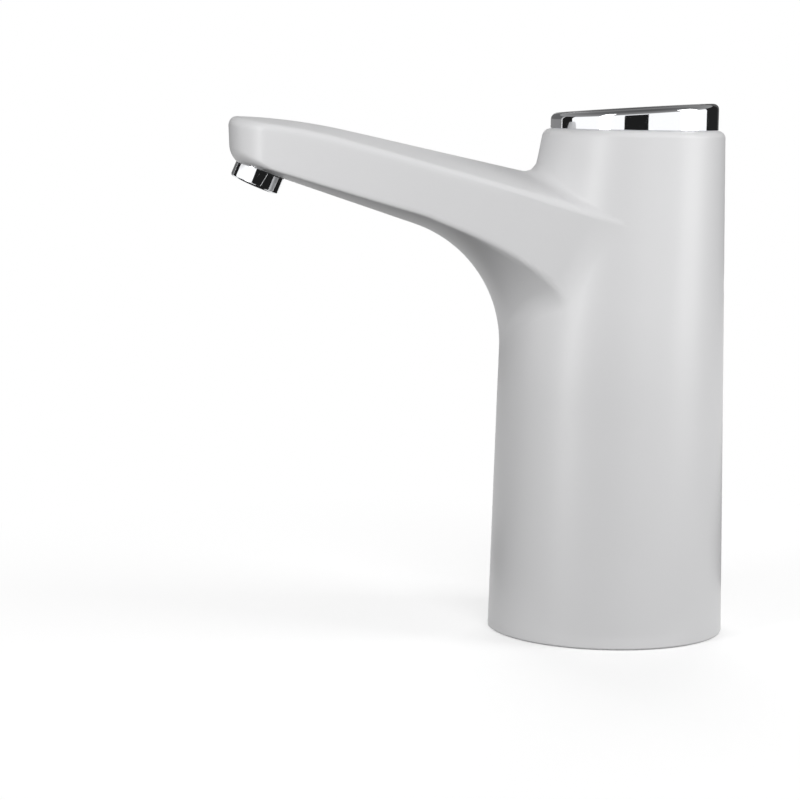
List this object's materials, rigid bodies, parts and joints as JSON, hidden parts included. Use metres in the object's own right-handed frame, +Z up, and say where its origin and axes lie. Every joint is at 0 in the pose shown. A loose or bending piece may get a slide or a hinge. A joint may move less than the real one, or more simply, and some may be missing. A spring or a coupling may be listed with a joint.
{
  "type": "electric water jug pump",
  "caption": "Faucet-shaped electric pump for the neck of a large water bottle: leaning body, sloping spout arm with chrome nozzle, ringed push button, and battery, motor and pump inside.",
  "frame": {"origin": "centre of the mouth of the neck socket, in the plane of the lower rim", "axes": "+Z up along the body, -X toward the spout, +Y to the side, so -Z points out of the socket"},
  "size_m": [0.16, 0.0748, 0.1682],
  "materials": {
    "shell_plastic": "satin moulded",
    "chrome": "polished plating",
    "light_plastic": "translucent",
    "button_plastic": "gloss",
    "steel": "bright",
    "dark_plastic": "matte",
    "ivory_plastic": "matte",
    "grey_plastic": "matte",
    "board_laminate": "solder mask",
    "seal_rubber": "soft silicone",
    "pump_rubber": "soft",
    "hose_silicone": "translucent silicone",
    "copper": "wound copper",
    "ferrite": "sintered",
    "cell_wrap": "plastic sleeve over a metal can",
    "lead_red": "insulated wire",
    "lead_yellow": "insulated wire"
  },
  "bodies": {
    "body": {"housing": "shell_plastic", "top_ring": "chrome", "light_ring": "light_plastic", "button_spring": "steel", "button_guide": "grey_plastic", "button_board": "board_laminate", "switch_case": "dark_plastic", "nozzle": "chrome", "flow_insert": "ivory_plastic", "nozzle_seal": "pump_rubber", "spout_elbow": "ivory_plastic", "outlet_hose": "hose_silicone", "pump_head": "grey_plastic", "check_valves": "pump_rubber", "valve_block": "ivory_plastic", "diaphragm": "pump_rubber", "pump_case": "grey_plastic", "pump_screws": "steel", "motor_can": "steel", "motor_magnets": "ferrite", "motor_end_cap": "ivory_plastic", "motor_leads": "lead_red", "battery_cell": "cell_wrap", "battery_contacts": "steel", "battery_leads": "lead_red", "control_board": "board_laminate", "usb_socket": "steel", "switch_leads": "lead_yellow", "board_screws": "steel", "chassis": "grey_plastic", "chassis_screws": "steel", "base_deck": "shell_plastic", "neck_collar": "shell_plastic", "neck_seal": "seal_rubber", "inlet_nipple": "ivory_plastic", "inlet_hose": "hose_silicone", "base_screws": "steel"},
    "button": {"button": "button_plastic", "switch_plunger": "ivory_plastic"},
    "rotor": {"motor_armature": "copper", "crank": "dark_plastic", "crank_pin": "steel"},
    "wobble": {"wobble_plate": "ivory_plastic", "pump_pistons": "pump_rubber"}
  },
  "joints": [
    {"name": "button_press", "type": "slide", "parent": "body", "child": "button", "axis": [0, 0, -1], "range_m": [0, 0.001], "stiffness_N_per_m": 500, "springref_m": -0.003, "deforming": ["button_spring"]},
    {"name": "motor_spin", "type": "hinge", "parent": "body", "child": "rotor", "pos_m": [-0.009, 0, 0.0584], "axis": [0, 0, 1], "continuous": true},
    {"name": "wobble_turn", "type": "hinge", "parent": "rotor", "child": "wobble", "pos_m": [-0.009, 0, 0.09187], "axis": [-0.1045, 0, 0.9945], "continuous": true}
  ],
  "couplings": [
    {"joint": "wobble_turn", "follows": "motor_spin", "ratio": -1}
  ]
}
